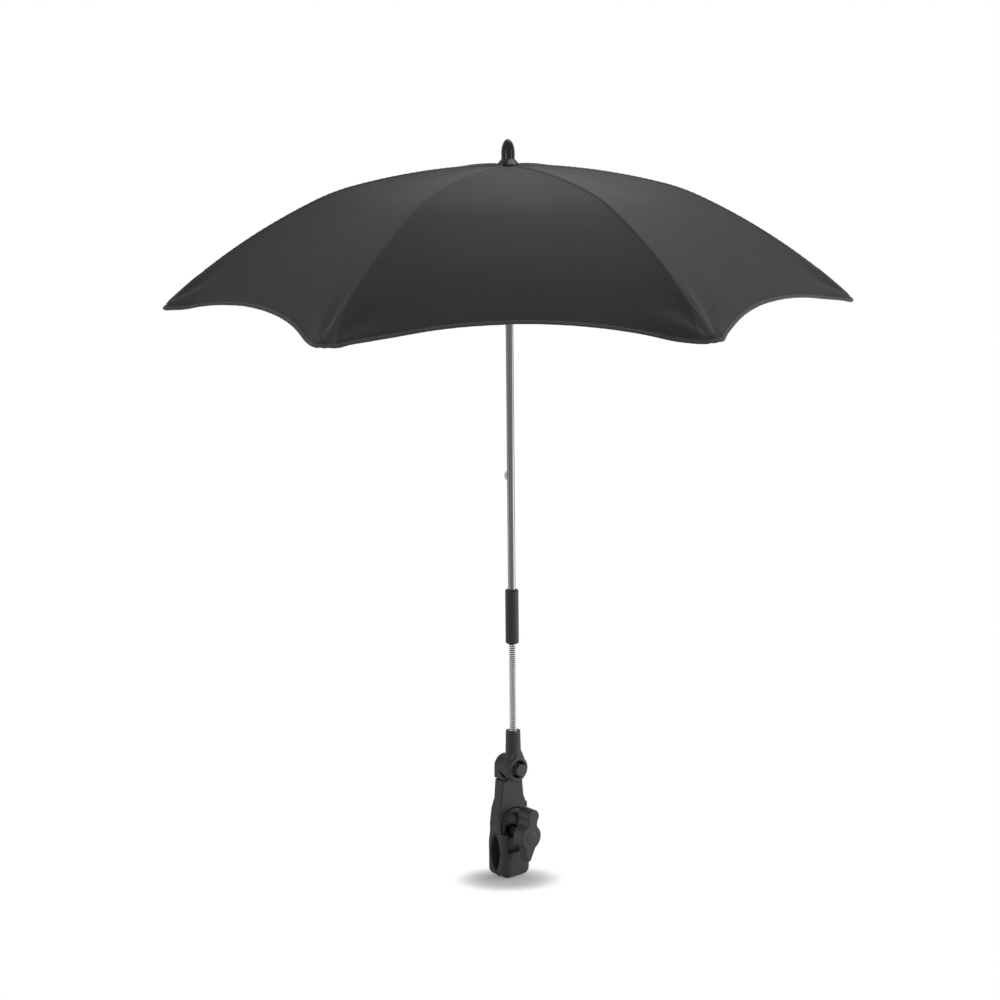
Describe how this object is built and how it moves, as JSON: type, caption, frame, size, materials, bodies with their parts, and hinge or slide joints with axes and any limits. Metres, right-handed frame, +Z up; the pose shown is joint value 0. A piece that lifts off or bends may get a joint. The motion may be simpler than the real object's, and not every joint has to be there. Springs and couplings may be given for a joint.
{
  "type": "pram parasol",
  "caption": "Folding parasol on a slim pole with a bendable neck and a tilting tube clamp with a wing knob.",
  "frame": {"origin": "centre of the tube that the clamp grips", "axes": "+X along the tube, -Y towards the wing knob, +Z up the pole"},
  "size_m": [0.6534, 0.693, 0.7795],
  "materials": {
    "clamp_plastic": "fine moulded satin",
    "knob_plastic": "fine moulded satin",
    "pad_rubber": "matt",
    "steel": "zinc plated",
    "chrome": "polished",
    "core_wire": "drawn",
    "nylon": "natural",
    "black_plastic": "satin",
    "finial_plastic": "polished",
    "sleeve_plastic": "satin",
    "canopy_cloth": "plain woven polyester"
  },
  "bodies": {
    "clamp": {"clamp_body": "clamp_plastic", "jaw_hinge_pin": "steel", "clamp_stud": "steel", "back_jaw_pad": "pad_rubber", "hinge_back_cap": "clamp_plastic"},
    "jaw": {"clamp_jaw": "clamp_plastic", "front_jaw_pad": "pad_rubber"},
    "washer": {"thrust_washer": "steel"},
    "knob": {"wing_knob": "knob_plastic", "knob_nut": "steel", "knob_cap": "knob_plastic"},
    "tilt_head": {"pole_socket": "clamp_plastic", "neck_lower_ferrule": "steel", "lock_spring": "steel"},
    "tilt_release": {"tilt_button": "knob_plastic", "lock_cone": "nylon", "lock_screw": "steel"},
    "neck": {"neck_core": "core_wire", "neck_coil": "chrome"},
    "mast": {"neck_upper_ferrule": "steel", "neck_sleeve": "sleeve_plastic", "pole": "chrome", "crown": "black_plastic", "crown_wire": "steel", "crown_washer": "steel", "finial": "finial_plastic", "canopy_cover": "canopy_cloth"},
    "upper_catch": {"top_catch": "steel"},
    "lower_catch": {"bottom_catch": "steel"},
    "slider": {"runner": "black_plastic"},
    "rib_arm_1": {"rib_1": "steel", "rib_tip_1": "black_plastic", "stretcher_rivet_1": "steel"},
    "stretcher_arm_1": {"stretcher_1": "steel"},
    "rib_arm_2": {"rib_2": "steel", "rib_tip_2": "black_plastic", "stretcher_rivet_2": "steel"},
    "stretcher_arm_2": {"stretcher_2": "steel"},
    "rib_arm_3": {"rib_3": "steel", "rib_tip_3": "black_plastic", "stretcher_rivet_3": "steel"},
    "stretcher_arm_3": {"stretcher_3": "steel"},
    "rib_arm_4": {"rib_4": "steel", "rib_tip_4": "black_plastic", "stretcher_rivet_4": "steel"},
    "stretcher_arm_4": {"stretcher_4": "steel"},
    "rib_arm_5": {"rib_5": "steel", "rib_tip_5": "black_plastic", "stretcher_rivet_5": "steel"},
    "stretcher_arm_5": {"stretcher_5": "steel"},
    "rib_arm_6": {"rib_6": "steel", "rib_tip_6": "black_plastic", "stretcher_rivet_6": "steel"},
    "stretcher_arm_6": {"stretcher_6": "steel"}
  },
  "joints": [
    {"name": "jaw_open", "type": "hinge", "parent": "clamp", "child": "jaw", "pos_m": [0, 0, -0.0244], "axis": [1, 0, 0], "range_deg": [0, 8]},
    {"name": "knob_travel", "type": "slide", "parent": "clamp", "child": "washer", "axis": [0, -1, 0], "range_m": [0, 0.008]},
    {"name": "knob_turn", "type": "hinge", "parent": "washer", "child": "knob", "pos_m": [0, -0.03, 0.0225], "axis": [0, -1, 0], "range_deg": [0, 2880]},
    {"name": "tilt", "type": "hinge", "parent": "clamp", "child": "tilt_head", "pos_m": [0, -0.0088, 0.093], "axis": [0, 1, 0], "range_deg": [-90, 90]},
    {"name": "tilt_press", "type": "slide", "parent": "tilt_head", "child": "tilt_release", "axis": [0, 1, 0], "range_m": [0, 0.0028], "stiffness_N_per_m": 1500, "springref_m": -0.002, "deforming": ["lock_spring"]},
    {"name": "neck_bend_lower", "type": "hinge", "parent": "tilt_head", "child": "neck", "pos_m": [0, -0.0095, 0.158], "axis": [1, 0, 0], "range_deg": [-45, 45], "deforming": ["neck_core", "neck_coil"]},
    {"name": "neck_bend_upper", "type": "hinge", "parent": "neck", "child": "mast", "pos_m": [0, -0.0095, 0.206], "axis": [0, 1, 0], "range_deg": [-45, 45], "deforming": ["neck_core", "neck_coil"]},
    {"name": "upper_catch_press", "type": "slide", "parent": "mast", "child": "upper_catch", "axis": [0.7826, -0.6225, 0], "range_m": [0, 0.0026], "stiffness_N_per_m": 800, "springref_m": -0.001},
    {"name": "lower_catch_press", "type": "slide", "parent": "mast", "child": "lower_catch", "axis": [0.7826, -0.6225, 0], "range_m": [0, 0.0026], "stiffness_N_per_m": 800, "springref_m": -0.001},
    {"name": "fold", "type": "slide", "parent": "mast", "child": "slider", "axis": [0, 0, -1], "range_m": [0, 0.2778], "deforming": ["canopy_cover", "top_catch", "bottom_catch"]},
    {"name": "rib_1_hinge", "type": "hinge", "parent": "mast", "child": "rib_arm_1", "pos_m": [0.00791, -0.00638, 0.7205], "axis": [-0.3665, 0.9304, 0], "range_deg": [0, 67]},
    {"name": "stretcher_1_hinge", "type": "hinge", "parent": "rib_arm_1", "child": "stretcher_arm_1", "pos_m": [0.1627, 0.05459, 0.69712], "axis": [-0.3665, 0.9304, 0], "range_deg": [-134, 0]},
    {"name": "rib_2_hinge", "type": "hinge", "parent": "mast", "child": "rib_arm_2", "pos_m": [0.00126, -0.00109, 0.7205], "axis": [-0.989, 0.1478, 0], "range_deg": [0, 67]},
    {"name": "stretcher_2_hinge", "type": "hinge", "parent": "rib_arm_2", "child": "stretcher_arm_2", "pos_m": [0.02585, 0.16344, 0.69712], "axis": [-0.989, 0.1478, 0], "range_deg": [-134, 0]},
    {"name": "rib_3_hinge", "type": "hinge", "parent": "mast", "child": "rib_arm_3", "pos_m": [-0.00665, -0.00421, 0.7205], "axis": [-0.6225, -0.7826, 0], "range_deg": [0, 67]},
    {"name": "stretcher_3_hinge", "type": "hinge", "parent": "rib_arm_3", "child": "stretcher_arm_3", "pos_m": [-0.13685, 0.09936, 0.69712], "axis": [-0.6225, -0.7826, 0], "range_deg": [-134, 0]},
    {"name": "rib_4_hinge", "type": "hinge", "parent": "mast", "child": "rib_arm_4", "pos_m": [-0.00791, -0.01262, 0.7205], "axis": [0.3665, -0.9304, 0], "range_deg": [0, 67]},
    {"name": "stretcher_4_hinge", "type": "hinge", "parent": "rib_arm_4", "child": "stretcher_arm_4", "pos_m": [-0.1627, -0.07359, 0.69712], "axis": [0.3665, -0.9304, 0], "range_deg": [-134, 0]},
    {"name": "rib_5_hinge", "type": "hinge", "parent": "mast", "child": "rib_arm_5", "pos_m": [-0.00126, -0.01791, 0.7205], "axis": [0.989, -0.1478, 0], "range_deg": [0, 67]},
    {"name": "stretcher_5_hinge", "type": "hinge", "parent": "rib_arm_5", "child": "stretcher_arm_5", "pos_m": [-0.02585, -0.18244, 0.69712], "axis": [0.989, -0.1478, 0], "range_deg": [-134, 0]},
    {"name": "rib_6_hinge", "type": "hinge", "parent": "mast", "child": "rib_arm_6", "pos_m": [0.00665, -0.01479, 0.7205], "axis": [0.6225, 0.7826, 0], "range_deg": [0, 67]},
    {"name": "stretcher_6_hinge", "type": "hinge", "parent": "rib_arm_6", "child": "stretcher_arm_6", "pos_m": [0.13685, -0.11836, 0.69712], "axis": [0.6225, 0.7826, 0], "range_deg": [-134, 0]}
  ],
  "couplings": [
    {"joint": "knob_travel", "follows": "knob_turn", "m_per_rad": 0.00015915},
    {"joint": "jaw_open", "follows": "knob_turn", "ratio": 0.002777},
    {"joint": "rib_1_hinge", "follows": "fold", "rad_per_m": 4.2094},
    {"joint": "stretcher_1_hinge", "follows": "fold", "rad_per_m": -8.4188},
    {"joint": "rib_2_hinge", "follows": "fold", "rad_per_m": 4.2094},
    {"joint": "stretcher_2_hinge", "follows": "fold", "rad_per_m": -8.4188},
    {"joint": "rib_3_hinge", "follows": "fold", "rad_per_m": 4.2094},
    {"joint": "stretcher_3_hinge", "follows": "fold", "rad_per_m": -8.4188},
    {"joint": "rib_4_hinge", "follows": "fold", "rad_per_m": 4.2094},
    {"joint": "stretcher_4_hinge", "follows": "fold", "rad_per_m": -8.4188},
    {"joint": "rib_5_hinge", "follows": "fold", "rad_per_m": 4.2094},
    {"joint": "stretcher_5_hinge", "follows": "fold", "rad_per_m": -8.4188},
    {"joint": "rib_6_hinge", "follows": "fold", "rad_per_m": 4.2094},
    {"joint": "stretcher_6_hinge", "follows": "fold", "rad_per_m": -8.4188}
  ]
}
